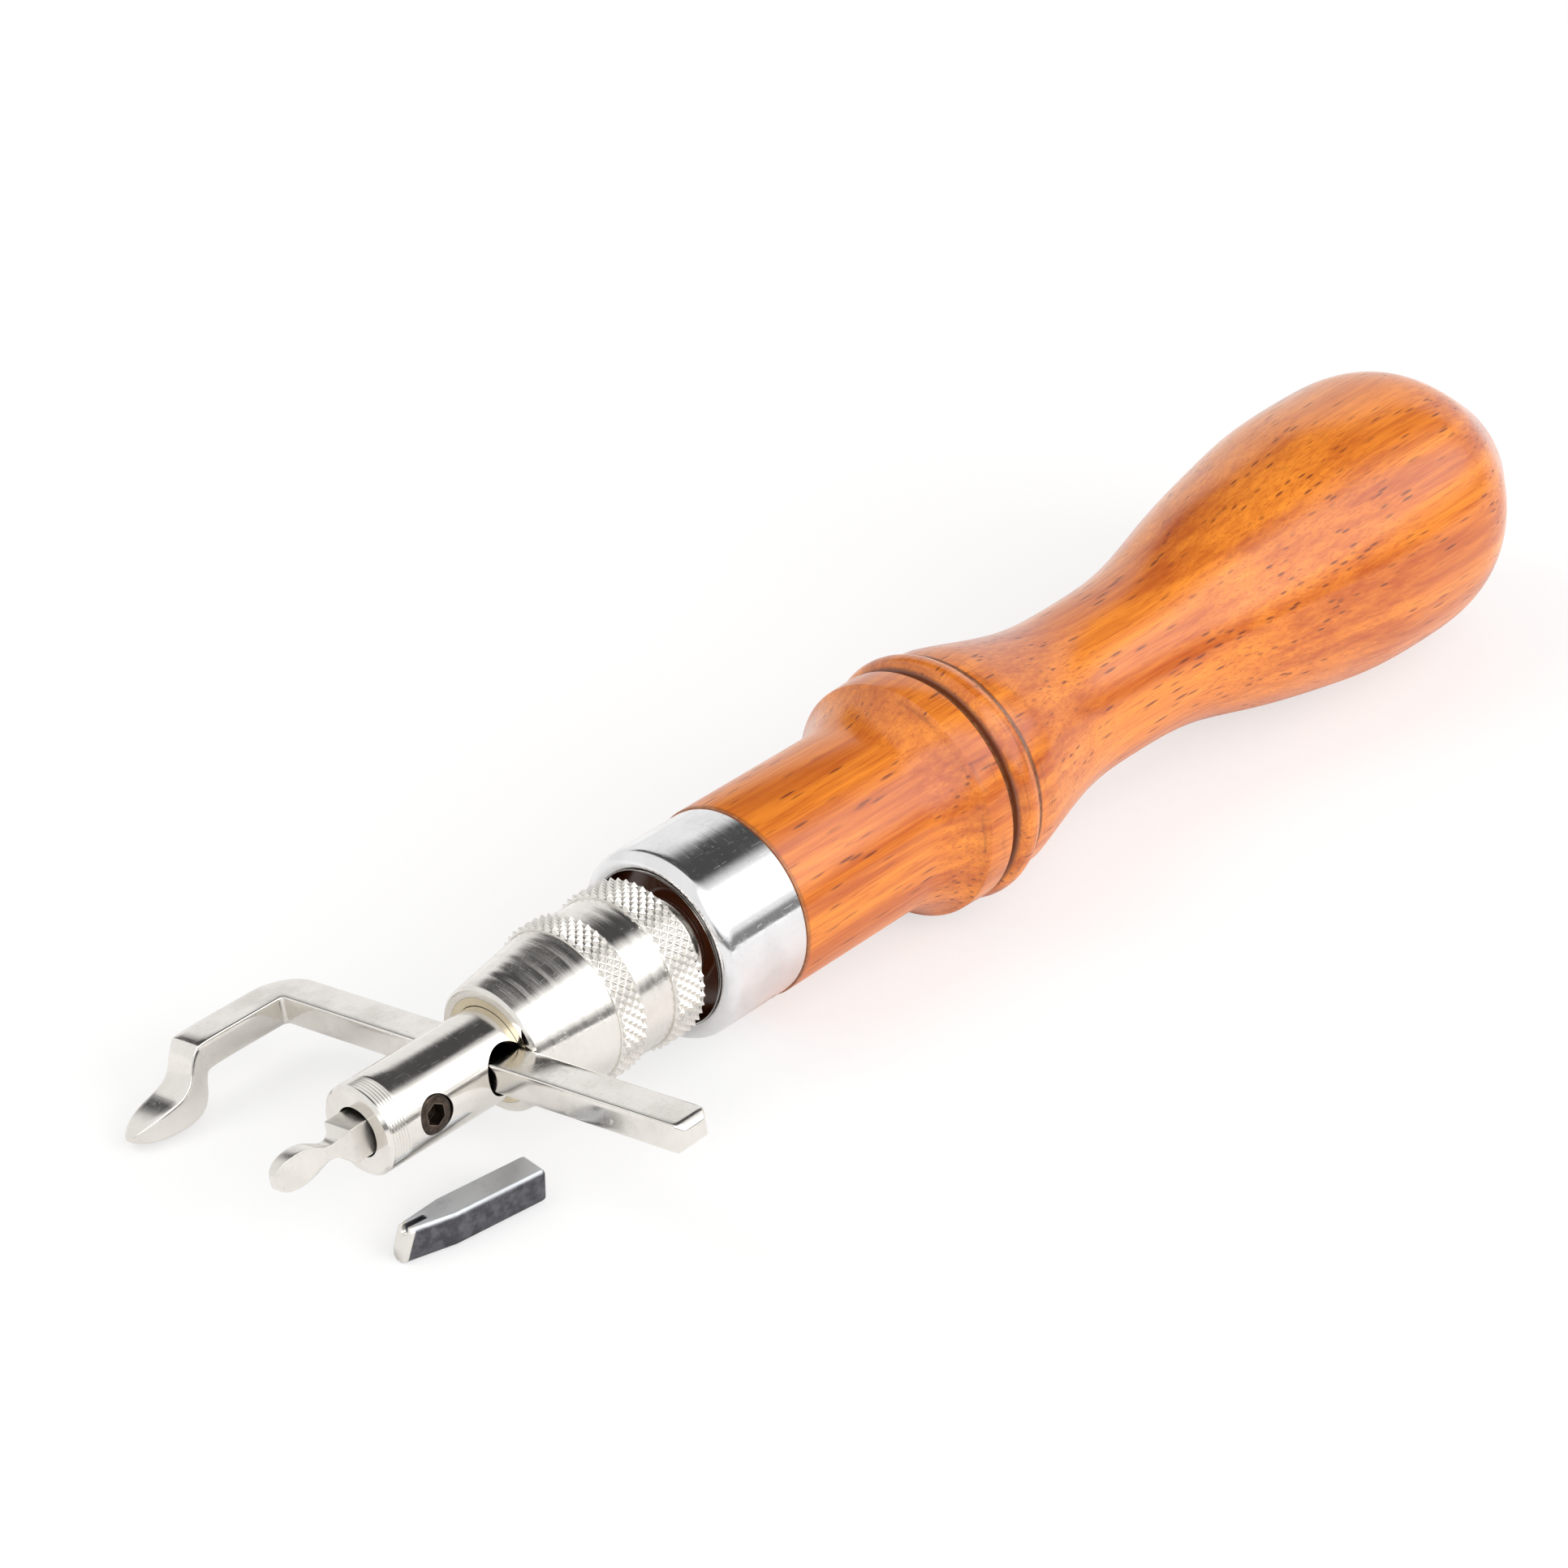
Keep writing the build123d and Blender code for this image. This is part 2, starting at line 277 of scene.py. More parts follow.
def dress(obj, body, node, material, place=None):
    """Lay a finished piece down, give it its material, and let it stand for its CAD node."""
    if place is not None:
        lay_down(obj, place)
    obj.data.materials.clear()
    obj.data.materials.append(material)
    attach(obj, body)
    if node:
        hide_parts(node)
    return obj


# ---------------------------------------------------------------- shader node groups

class Nodes:
    """Short words for adding and linking nodes in one tree."""

    def __init__(self, tree):
        self.tree = tree

    def add(self, kind, **values):
        """Add a node; capitalised names with _ for a space are inputs, others are settings."""
        node = self.tree.nodes.new("ShaderNode" + kind)
        for name, value in values.items():
            if name == "inputs_by_number":
                for number, content in value.items():
                    self.put(node.inputs[number], content)
            elif name[0].isupper():
                self.put(node.inputs[name.replace("_", " ")], value)
            else:
                setattr(node, name, value)
        return node

    def put(self, socket, value):
        """Link a socket into an input, or set the input's value."""
        if isinstance(value, bpy.types.NodeSocket):
            self.tree.links.new(value, socket)
        else:
            socket.default_value = value

    def math(self, operation, a, b=0.0, clamp=False):
        """Output of a Math node."""
        node = self.add("Math", operation=operation, use_clamp=clamp, inputs_by_number={0: a, 1: b})
        return node.outputs[0]

    def noise(self, vector, scale, detail=3.0, roughness=0.5, distortion=0.0):
        """Factor of a Noise Texture."""
        node = self.add("TexNoise", Vector=vector, Scale=scale, Detail=detail,
                        Roughness=roughness, Distortion=distortion)
        return node.outputs[0]

    def ramp(self, value, low, high, out_low=0.0, out_high=1.0):
        """A value brought from one range to another, held at its ends, with smooth steps."""
        node = self.add("MapRange", interpolation_type="SMOOTHSTEP",
                        inputs_by_number={0: value, 1: low, 2: high, 3: out_low, 4: out_high})
        return node.outputs[0]

    def mix(self, factor, a, b, blend="MIX"):
        """Output of a colour Mix node."""
        node = self.add("Mix", data_type="RGBA", blend_type=blend,
                        inputs_by_number={0: factor, 6: a, 7: b})
        return node.outputs[2]

    def stretch(self, vector, scale):
        """A vector scaled along each axis."""
        node = self.add("Mapping", vector_type="POINT", Vector=vector, Scale=scale)
        return node.outputs[0]


def new_group(name, inputs, outputs):
    """An empty shader node group with these sockets, and its nodes."""
    tree = bpy.data.node_groups.new(name, "ShaderNodeTree")
    for label, kind, default in inputs:
        socket = tree.interface.new_socket(label, in_out="INPUT", socket_type="NodeSocket" + kind)
        if default is not None:
            socket.default_value = default
    for label, kind in outputs:
        tree.interface.new_socket(label, in_out="OUTPUT", socket_type="NodeSocket" + kind)
    n = Nodes(tree)
    entry = tree.nodes.new("NodeGroupInput")
    leave = tree.nodes.new("NodeGroupOutput")
    return tree, n, entry.outputs, leave.inputs


def turning_lines_group():
    """Fine lines left by turning: rings about the axis, uneven in depth and spacing."""
    tree, n, given, out = new_group(
        "turning_lines", [("Place", "Vector", None), ("Lines per mm", "Float", 4.0),
                          ("Unevenness", "Float", 0.5)], [("Lines", "Float")])
    split = n.add("SeparateXYZ", Vector=given["Place"])
    station = n.math("MULTIPLY", split.outputs[0], given["Lines per mm"])
    ring = n.add("CombineXYZ", X=station)
    broad = n.noise(ring.outputs[0], 1.0, 4.0, 0.75)
    around = n.noise(n.stretch(given["Place"], (1.2, 0.25, 0.25)), 1.0, 2.0)
    uneven = n.math("MULTIPLY", n.math("SUBTRACT", around, 0.5), given["Unevenness"])
    n.put(out["Lines"], n.math("ADD", broad, uneven))
    return tree


def edge_wear_group():
    """Mask of the raised edges of a piece, broken up by a fine noise."""
    tree, n, given, out = new_group(
        "edge_wear", [("Place", "Vector", None), ("Width", "Float", 0.0003),
                      ("Break up", "Float", 0.6)], [("Mask", "Float")])
    bevel = n.add("Bevel", samples=6, Radius=given["Width"])
    plain = n.add("NewGeometry")
    dot = n.add("VectorMath", operation="DOT_PRODUCT",
                inputs_by_number={0: bevel.outputs[0], 1: plain.outputs["Normal"]})
    edge = n.ramp(dot.outputs["Value"], 0.985, 0.90)
    patches = n.ramp(n.noise(given["Place"], 1.3, 5.0, 0.65), 0.35, 0.6)
    broken = n.math("MULTIPLY", n.math("SUBTRACT", 1.0, patches), given["Break up"])
    n.put(out["Mask"], n.math("SUBTRACT", edge, broken, clamp=True))
    return tree


def plating_group():
    """Plated metal: broad mottling, tiny pits and hairline scratches."""
    tree, n, given, out = new_group(
        "plating", [("Place", "Vector", None), ("Bright", "Color", (0.8, 0.8, 0.8, 1)),
                    ("Dull", "Color", (0.5, 0.5, 0.5, 1)), ("Smooth", "Float", 0.08),
                    ("Worn", "Float", 0.3), ("Pitting", "Float", 0.4)],
        [("Color", "Color"), ("Roughness", "Float"), ("Height", "Float")])
    place = given["Place"]
    cloud = n.ramp(n.noise(place, 0.22, 5.0, 0.6), 0.35, 0.7)
    specks = n.ramp(n.noise(place, 2.6, 3.0, 0.7), 0.60, 0.74)
    scratch_a = n.noise(n.stretch(place, (0.35, 5.0, 5.0)), 1.4, 2.0, 0.5, 0.4)
    scratch_b = n.noise(n.stretch(place, (6.0, 0.5, 0.5)), 1.1, 2.0, 0.5, 0.3)
    hair = n.math("ADD", n.ramp(scratch_a, 0.66, 0.70), n.ramp(scratch_b, 0.68, 0.72))
    pits = n.math("MULTIPLY", specks, given["Pitting"])
    tone = n.math("ADD", n.math("MULTIPLY", cloud, 0.35), pits, clamp=True)
    n.put(out["Color"], n.mix(tone, given["Bright"], given["Dull"]))
    rough = n.math("ADD", n.math("MULTIPLY", cloud, 0.5), n.math("MULTIPLY", hair, 0.5))
    worn = n.math("MULTIPLY", n.math("ADD", rough, pits), given["Worn"])
    n.put(out["Roughness"], n.math("ADD", given["Smooth"], worn))
    low = n.math("ADD", n.math("MULTIPLY", pits, -0.6), n.math("MULTIPLY", hair, -0.25))
    n.put(out["Height"], n.math("ADD", low, n.math("MULTIPLY", n.noise(place, 0.5, 2.0), 0.6)))
    return tree


def wood_grain_group():
    """Grain that runs along the handle: long fibres, short dark pores and broad bands."""
    tree, n, given, out = new_group(
        "wood_grain", [("Place", "Vector", None), ("Pale", "Color", (0.7, 0.35, 0.1, 1)),
                       ("Deep", "Color", (0.4, 0.12, 0.02, 1)),
                       ("Pore", "Color", (0.1, 0.03, 0.01, 1)), ("Pores", "Float", 0.7)],
        [("Color", "Color"), ("Height", "Float"), ("Roughness", "Float")])
    place = given["Place"]
    warp = n.noise(n.stretch(place, (0.010, 0.05, 0.05)), 1.0, 3.0, 0.55)
    bands = n.noise(n.stretch(place, (0.016, 0.16, 0.24)), 1.0, 3.0, 0.5, 0.35)
    fibre = n.noise(n.stretch(place, (0.05, 1.5, 1.5)), 1.0, 5.0, 0.65)
    fine = n.noise(n.stretch(place, (0.16, 5.5, 5.5)), 1.0, 3.0, 0.6)
    broad = n.math("ADD", n.math("MULTIPLY", n.ramp(bands, 0.32, 0.68), 0.55),
                   n.math("MULTIPLY", n.ramp(fibre, 0.3, 0.7), 0.33))
    depth = n.math("ADD", broad, n.math("MULTIPLY", warp, 0.18), clamp=True)
    base = n.mix(depth, given["Pale"], given["Deep"])
    streak = n.math("MULTIPLY", n.ramp(fine, 0.50, 0.68), 0.55)
    streaked = n.mix(streak, base, given["Deep"])
    cells = n.add("TexVoronoi", feature="F1", Scale=1.0, Randomness=1.0,
                  Vector=n.stretch(place, (0.19, 1.5, 1.5)))
    round_pore = n.ramp(cells.outputs["Distance"], 0.30, 0.12)
    here = n.ramp(n.noise(n.stretch(place, (0.06, 0.35, 0.35)), 1.0, 3.0), 0.40, 0.58)
    pore = n.math("MULTIPLY", n.math("MULTIPLY", round_pore, here), given["Pores"])
    n.put(out["Color"], n.mix(pore, streaked, given["Pore"]))
    n.put(out["Height"], n.math("SUBTRACT", n.math("MULTIPLY", fine, 0.25), pore))
    n.put(out["Roughness"], n.math("ADD", n.math("MULTIPLY", fibre, 0.08),
                                   n.math("MULTIPLY", pore, 0.25)))
    return tree


GROUPS = {}


def group(name):
    """The shader node group of that name, built the first time it is asked for."""
    makers = {"turning_lines": turning_lines_group, "edge_wear": edge_wear_group,
              "plating": plating_group, "wood_grain": wood_grain_group}
    if name not in GROUPS:
        GROUPS[name] = makers[name]()
    return GROUPS[name]


# ---------------------------------------------------------------- materials

def new_material(name, place):
    """A material with its Principled shader, and its place in a piece's own millimetres."""
    material = bpy.data.materials.new(name)
    material.use_nodes = True
    n = Nodes(material.node_tree)
    shader = material.node_tree.nodes["Principled BSDF"]
    where = n.add("TexCoord")
    location, turn, _ = place.decompose()
    own = n.add("Mapping", vector_type="TEXTURE", Vector=where.outputs["Object"],
                Location=location, Rotation=turn.to_euler("XYZ"), Scale=(MM, MM, MM))
    return material, n, shader, own.outputs[0]


def use(n, name, **values):
    """Place a node group in a material with its own values."""
    node = n.tree.nodes.new("ShaderNodeGroup")
    node.node_tree = group(name)
    for label, value in values.items():
        n.put(node.inputs[label.replace("_", " ")], value)
    return node


def bump(n, height, strength, distance):
    """Normal of a Bump node over a height."""
    node = n.add("Bump", Strength=strength, Distance=distance, Height=height)
    return node.outputs[0]


def plated(name, place, bright, dull, smooth_at, worn, lines=0.0, per_mm=4.0, pitting=0.4,
           relief=0.5, hollow=None):
    """Bright plated metal with mottling, hairlines, pits and turned lines.

    `hollow` is (station of the mouth, radius): inside it the metal is painted dark as shade.
    """
    material, n, shader, own = new_material(name, place)
    plate = use(n, "plating", Place=own, Bright=bright, Dull=dull, Smooth=smooth_at, Worn=worn,
                Pitting=pitting)
    wear = use(n, "edge_wear", Place=own, Width=0.0002)
    rings = use(n, "turning_lines", Place=own, Lines_per_mm=per_mm)
    lined = n.math("MULTIPLY", n.math("SUBTRACT", rings.outputs["Lines"], 0.5), lines)
    base = n.mix(n.math("MULTIPLY", wear.outputs["Mask"], 0.5), plate.outputs["Color"], bright)
    # Painted shade: inside the mouth the colour is darkened where the hollow's shade falls.
    if hollow:
        mouth, radius = hollow
        split = n.add("SeparateXYZ", Vector=own)
        across = n.add("CombineXYZ", Y=split.outputs[1], Z=split.outputs[2])
        from_axis = n.add("VectorMath", operation="LENGTH", inputs_by_number={0: across.outputs[0]})
        inside = n.math("MULTIPLY", n.ramp(from_axis.outputs["Value"], radius, radius - 0.15),
                        n.ramp(split.outputs[0], mouth + 0.1, mouth + 0.5))
        base = n.mix(inside, base, HOLLOW_SHADE)
    n.put(shader.inputs["Base Color"], base)
    rough = n.math("ADD", plate.outputs["Roughness"], n.math("MULTIPLY", lined, 0.3))
    n.put(shader.inputs["Roughness"],
          n.math("ADD", rough, n.math("MULTIPLY", wear.outputs["Mask"], 0.08), clamp=True))
    height = n.math("ADD", n.math("MULTIPLY", plate.outputs["Height"], 0.35), lined)
    n.put(shader.inputs["Normal"], bump(n, height, relief, 0.00003))
    shader.inputs["Metallic"].default_value = 1.0
    return material


def colour(value):
    """Linear colour with full alpha."""
    return (value[0], value[1], value[2], 1.0)


def wood_material(looks):
    """Lacquered wood, darker in the groove, at the seam and at the rim by the ferrule, with turned
    lines on the collar.
    """
    material, n, shader, own = new_material("lacquered_wood", TOOL)
    grain = use(n, "wood_grain", Place=own, Pale=colour(looks.wood_pale),
                Deep=colour(looks.wood_deep), Pore=(0.13, 0.022, 0.006, 1), Pores=0.8)
    station = n.add("SeparateXYZ", Vector=own).outputs[0]
    rings = use(n, "turning_lines", Place=own, Lines_per_mm=3.2)
    collar = n.math("MULTIPLY", n.ramp(station, 21.0, 25.5), n.ramp(station, 38.0, 36.0))
    lines = n.math("MULTIPLY", n.ramp(rings.outputs["Lines"], 0.54, 0.66), collar)
    groove = n.math("MULTIPLY", n.ramp(station, 28.2, 28.55), n.ramp(station, 29.85, 29.45))
    seam = n.math("MULTIPLY", n.ramp(station, 32.5, 32.8), n.ramp(station, 33.45, 33.05))
    rim = n.ramp(station, 0.55, 0.1)
    dark = n.math("ADD", n.math("MULTIPLY", lines, 0.35), n.math("MULTIPLY", groove, 0.9))
    dark = n.math("ADD", dark, n.math("MULTIPLY", seam, 0.95))
    dark = n.math("ADD", dark, n.math("MULTIPLY", rim, 0.6))
    spigot = n.ramp(station, 0.0, -0.3)
    dark = n.math("ADD", dark, spigot, clamp=True)
    wear = use(n, "edge_wear", Place=own, Width=0.0005, Break_up=0.8)
    toned = n.mix(dark, grain.outputs["Color"], (0.11, 0.026, 0.008, 1))
    n.put(shader.inputs["Base Color"],
          n.mix(n.math("MULTIPLY", wear.outputs["Mask"], 0.35), toned, (0.82, 0.46, 0.2, 1)))
    haze = n.ramp(n.noise(own, 0.12, 3.0), 0.35, 0.7, 0.26, 0.36)
    n.put(shader.inputs["Roughness"], n.math("ADD", haze, grain.outputs["Roughness"]))
    wavy = n.math("MULTIPLY", n.noise(n.stretch(own, (0.25, 0.5, 0.5)), 1.0, 2.0), 1.6)
    height = n.math("ADD", grain.outputs["Height"], wavy)
    height = n.math("ADD", height, n.math("MULTIPLY", lines, -0.6))
    n.put(shader.inputs["Normal"], bump(n, height, 0.6, 0.00005))
    shader.inputs["Specular IOR Level"].default_value = 0.12
    shader.inputs["Coat Weight"].default_value = 0.65
    shader.inputs["Coat Roughness"].default_value = 0.16
    shader.inputs["Coat IOR"].default_value = 1.7
    return material


def oxide_material():
    """Blackened steel of the set screw, worn brown at its edges."""
    material, n, shader, own = new_material("black_oxide", TOOL)
    wear = use(n, "edge_wear", Place=own, Width=0.0002, Break_up=0.4)
    mottle = n.ramp(n.noise(own, 1.6, 5.0, 0.6), 0.35, 0.7)
    base = n.mix(mottle, (0.035, 0.027, 0.022, 1), (0.09, 0.065, 0.05, 1))
    n.put(shader.inputs["Base Color"], n.mix(wear.outputs["Mask"], base, (0.26, 0.2, 0.16, 1)))
    n.put(shader.inputs["Roughness"], n.ramp(mottle, 0.0, 1.0, 0.28, 0.42))
    n.put(shader.inputs["Normal"], bump(n, n.noise(own, 3.0, 4.0), 0.35, 0.00003))
    shader.inputs["Metallic"].default_value = 0.85
    return material


def spare_material(looks):
    """Blackened tool steel, milled along its length, ground bright at the sloping nose, with a painted
    sheen that lightens its top face.
    """
    material, n, shader, own = new_material("tool_steel", SPARE)
    low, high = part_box("spare_cutter")
    half = (high.x - low.x) / 2 / MM / math.cos(SPARE_YAW)
    split = n.add("SeparateXYZ", Vector=own)
    slope = n.math("ADD", split.outputs[0], n.math("MULTIPLY", split.outputs[2], -0.30))
    ground = n.ramp(slope, 0.48 - half, 0.28 - half)
    mottle = n.noise(own, 0.9, 5.0, 0.6)
    milled = n.noise(n.stretch(own, (0.35, 5.0, 5.0)), 1.0, 3.0)
    tone = n.math("ADD", n.math("MULTIPLY", n.ramp(mottle, 0.35, 0.68), 0.6),
                  n.math("MULTIPLY", milled, 0.4))
    scale = n.mix(tone, colour(looks.spare_dark), colour(looks.spare_light))
    wear = use(n, "edge_wear", Place=own, Width=0.00025, Break_up=0.55)
    worn = n.mix(n.math("MULTIPLY", wear.outputs["Mask"], 0.6), scale, (0.5, 0.5, 0.52, 1))
    # Painted sheen: the top face is lightened, in patches, for the light that falls on it.
    upper = n.ramp(split.outputs[2], 3.25, 3.5)
    top_sheen = n.math("MULTIPLY", upper, n.ramp(mottle, 0.2, 0.5, 0.75, 1.0))
    sheened = n.mix(top_sheen, worn, TOP_SHEEN_STEEL)
    n.put(shader.inputs["Base Color"], n.mix(ground, sheened, GROUND_STEEL))
    n.put(shader.inputs["Roughness"], n.ramp(ground, 0.0, 1.0, 0.40, 0.2))
    height = n.math("ADD", n.math("MULTIPLY", milled, 0.6), n.noise(own, 3.5, 4.0, 0.7))
    n.put(shader.inputs["Normal"], bump(n, height, 0.5, 0.00004))
    shader.inputs["Metallic"].default_value = 0.9
    return material


def nickel(name, looks, lines, per_mm=3.0, worn=0.25, smooth_at=0.13, relief=0.5, hollow=None):
    """The warm bright nickel of the nut, the guide, the spindle and the tip."""
    return plated(name, TOOL, colour(looks.nickel_bright), colour(looks.nickel_dull),
                  smooth_at, worn, lines=lines, per_mm=per_mm, relief=relief, hollow=hollow)


# ---------------------------------------------------------------- settings

def length(name, description, default):
    """A size in metres, given in millimetres."""
    return bpy.props.FloatProperty(name=name, description=description, default=default * MM,
                                   unit="LENGTH", subtype="DISTANCE", precision=4)


def tint(name, description, default):
    """A linear colour."""
    return bpy.props.FloatVectorProperty(name=name, description=description, default=default,
                                         subtype="COLOR", min=0, max=1)


class CreaserLooks(bpy.types.PropertyGroup):
    """Colours of the creaser's finishes."""

    wood_pale: tint("Pale wood", "Light colour of the handle's grain", (0.88, 0.285, 0.026))
    wood_deep: tint("Deep wood", "Dark colour of the handle's grain", (0.38, 0.058, 0.005))
    nickel_bright: tint("Nickel", "Colour of clean nickel plating", (0.80, 0.775, 0.735))
    nickel_dull: tint("Dull nickel", "Colour of tarnished nickel plating", (0.60, 0.565, 0.52))
    chrome_bright: tint("Ferrule", "Colour of the ferrule's clean plating", (0.80, 0.80, 0.81))
    spare_dark: tint("Dark steel", "Dark colour of the spare cutter", (0.055, 0.052, 0.058))
    spare_light: tint("Light steel", "Light colour of the spare cutter", (0.17, 0.17, 0.19))


class CreaserSizes(bpy.types.PropertyGroup):
    """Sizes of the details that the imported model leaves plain."""

    wood_edge: length("Wood edge", "Rounding of the handle's turned edges", 0.10)
    knurl_depth: length("Knurl depth", "Depth of the nut's knurling", 0.42)
    bar_edge: length("Bar edge", "Rounding of the guide's edges", 0.42)
    spare_edge: length("Spare edge", "Rounding of the spare cutter's edges", 0.12)
    knurls_round: bpy.props.IntProperty(name="Knurls", description="Diamonds round the nut",
                                        default=48, min=12, max=96)


def looks():
    """The creaser's colour settings."""
    return bpy.context.scene.creaser_looks


def sizes():
    """The creaser's size settings."""
    return bpy.context.scene.creaser_sizes


# ---------------------------------------------------------------- the pieces

class CREASER_OT_handle(bpy.types.Operator):
    """Turn the wooden handle from its outline and lacquer it"""

    bl_idname = "creaser.handle"
    bl_label = "Handle"

    def execute(self, context):
        profile = outer_profile("handle", 0.02, 127.1, 0.5)
        spigot_r = max(r for x, r in tool_points("handle") if x < -1)
        spigot_end = min(x for x, r in tool_points("handle"))
        tang_r = min(r for x, r in tool_points("handle") if x < -1)
        end_x = max(x for x, r in tool_points("handle"))
        barrel_r = profile[0][1]
        hole_end = 20.0
        groove_x, groove_deeper = 29.3, 0.28
        outline = [(hole_end, 0.0), (hole_end, tang_r), (spigot_end, tang_r),
                   (spigot_end, spigot_r), (0.0, spigot_r), (0.0, barrel_r)]
        outline += [(x, r) for x, r in profile if 0.4 < x < 24.2]
        outline += [(x, r - groove_deeper if abs(x - groove_x) < 0.08 else r)
                    for x, r in outer_profile("handle", 24.4, 36.1, 0.12)]
        outline += [(x, r) for x, r in profile if 36.4 < x < 118]
        outline += outer_profile("handle", 118.2, 126, 0.3)
        outline += outer_profile("handle", 126.05, end_x - 0.02, 0.06) + [(end_x, 0.0)]
        handle = turned("turned_handle", outline, 144)
        round_edges(handle, sizes().wood_edge / MM, 2, 28)
        smooth(handle, 40)
        dress(handle, "tool", "handle", wood_material(looks()), TOOL)
        return {"FINISHED"}


class CREASER_OT_ferrule(bpy.types.Operator):
    """Draw the ferrule, punch its mark and leave it slightly dented"""

    bl_idname = "creaser.ferrule"
    bl_label = "Ferrule"

    def execute(self, context):
        points = tool_points("ferrule")
        front = min(x for x, r in points)
        outer = max(r for x, r in points)
        mouth = min(r for x, r in points)
        wall = 1.0
        shoulder = 1.4
        lip, lip_reach = 0.3, 0.3
        rear_round = 0.12
        outline = [(0.0, outer - wall), (front + wall, outer - wall), (front + wall, mouth + lip)]
        for i in range(5):
            turn = math.radians(90 * i / 4)
            outline.append((front + (lip + lip_reach) * (1 - math.sin(turn)),
                            mouth + lip * (1 - math.cos(turn))))
        for i in range(9):
            turn = math.radians(90 * i / 8)
            outline.append((front + shoulder * (1 - math.cos(turn)),
                            outer - shoulder * (1 - math.sin(turn))))
        rings = 24
        start = front + shoulder
        outline += [(start + (-rear_round - start) * i / rings, outer)
                    for i in range(1, rings + 1)]
        outline += [(0.0, outer - rear_round), (0.0, outer - wall)]
        ferrule = turned("ferrule_tube", outline, 192)
        self.punch(ferrule, outer)
        smooth(ferrule, 40)
        # The inner face of the ferrule's mouth gets painted shade (hollow).
        metal = plated("ferrule_plate", TOOL, colour(looks().chrome_bright),
                       (0.58, 0.57, 0.57, 1), 0.07, 0.2, lines=0.35, per_mm=0.9, relief=0.7,
                       hollow=(front + 0.3, 9.6))
        dress(ferrule, "tool", "ferrule", metal, TOOL)
        return {"FINISHED"}

    def punch(self, ferrule, outer):
        """Two small steps inwards that make the punch mark holding the ferrule."""
        angle = math.radians(-128)
        centre = Vector((-3.2, outer * math.cos(angle), outer * math.sin(angle)))
        inwards = -Vector((0, centre.y, centre.z)).normalized()
        for reach, depth in ((0.75, 0.10), (0.45, 0.16)):
            edit(ferrule)
            pick(ferrule, "VERT", lambda v: (v.co - centre).length < reach)
            bpy.ops.transform.translate(value=inwards * depth)
            bpy.ops.object.mode_set(mode="OBJECT")


class CREASER_OT_spindle(bpy.types.Operator):
    """Turn the spindle with its thread, and drill it for the cutter, the guide and the screw"""

    bl_idname = "creaser.spindle"
    bl_label = "Spindle"

    def execute(self, context):
        front, rod, chamfer = -50.53, 4.62, 0.35
        thread_from, thread_to = -27.0, -8.62
        crest, root, pitch = 5.0, 4.55, 1.0
        outline = [(front, 0.0), (front, rod - chamfer), (front + chamfer, rod)]
        for i in range(6):
            ring = front + chamfer + 0.1 + 0.34 * i
            outline += [(ring, rod), (ring + 0.12, rod - 0.07), (ring + 0.24, rod - 0.03)]
        outline += [(x, rod) for x in (-47.9, -46.0, -42.0, -38.0, -34.0)]
        outline += [(thread_from - 0.5, rod)]
        x = thread_from
        while x + pitch < thread_to:
            outline += [(x, root), (x + 0.42 * pitch, crest), (x + 0.58 * pitch, crest)]
            x += pitch
        outline += [(thread_to, root), (thread_to, 3.1), (35.0, 3.1), (36.4, 1.9), (36.4, 0.0)]
        spindle = turned("drilled_spindle", outline, 96)
        bore_r, bore_depth, cross_x, cross_r, screw_r = 2.6, 11, -35.35, 2.65, 2.0
        outside = 8
        cut_away(spindle, cylinder("bore", (front - 1, 0, 0), (front + bore_depth, 0, 0), bore_r))
        cut_away(spindle, cylinder("cross_hole", (cross_x, -outside, 0), (cross_x, outside, 0),
                                   cross_r))
        cut_away(spindle, cylinder("screw_hole", (SCREW_X, -outside, 0), (SCREW_X, 0, 0),
                                   screw_r))
        smooth(spindle, 30)
        # The bore and the holes of the spindle get painted shade inside (hollow).
        dress(spindle, "tool", "spindle",
              nickel("spindle_nickel", looks(), 0.35, 2.6, smooth_at=0.07,
                     hollow=(front, rod - 0.25)), TOOL)
        return {"FINISHED"}


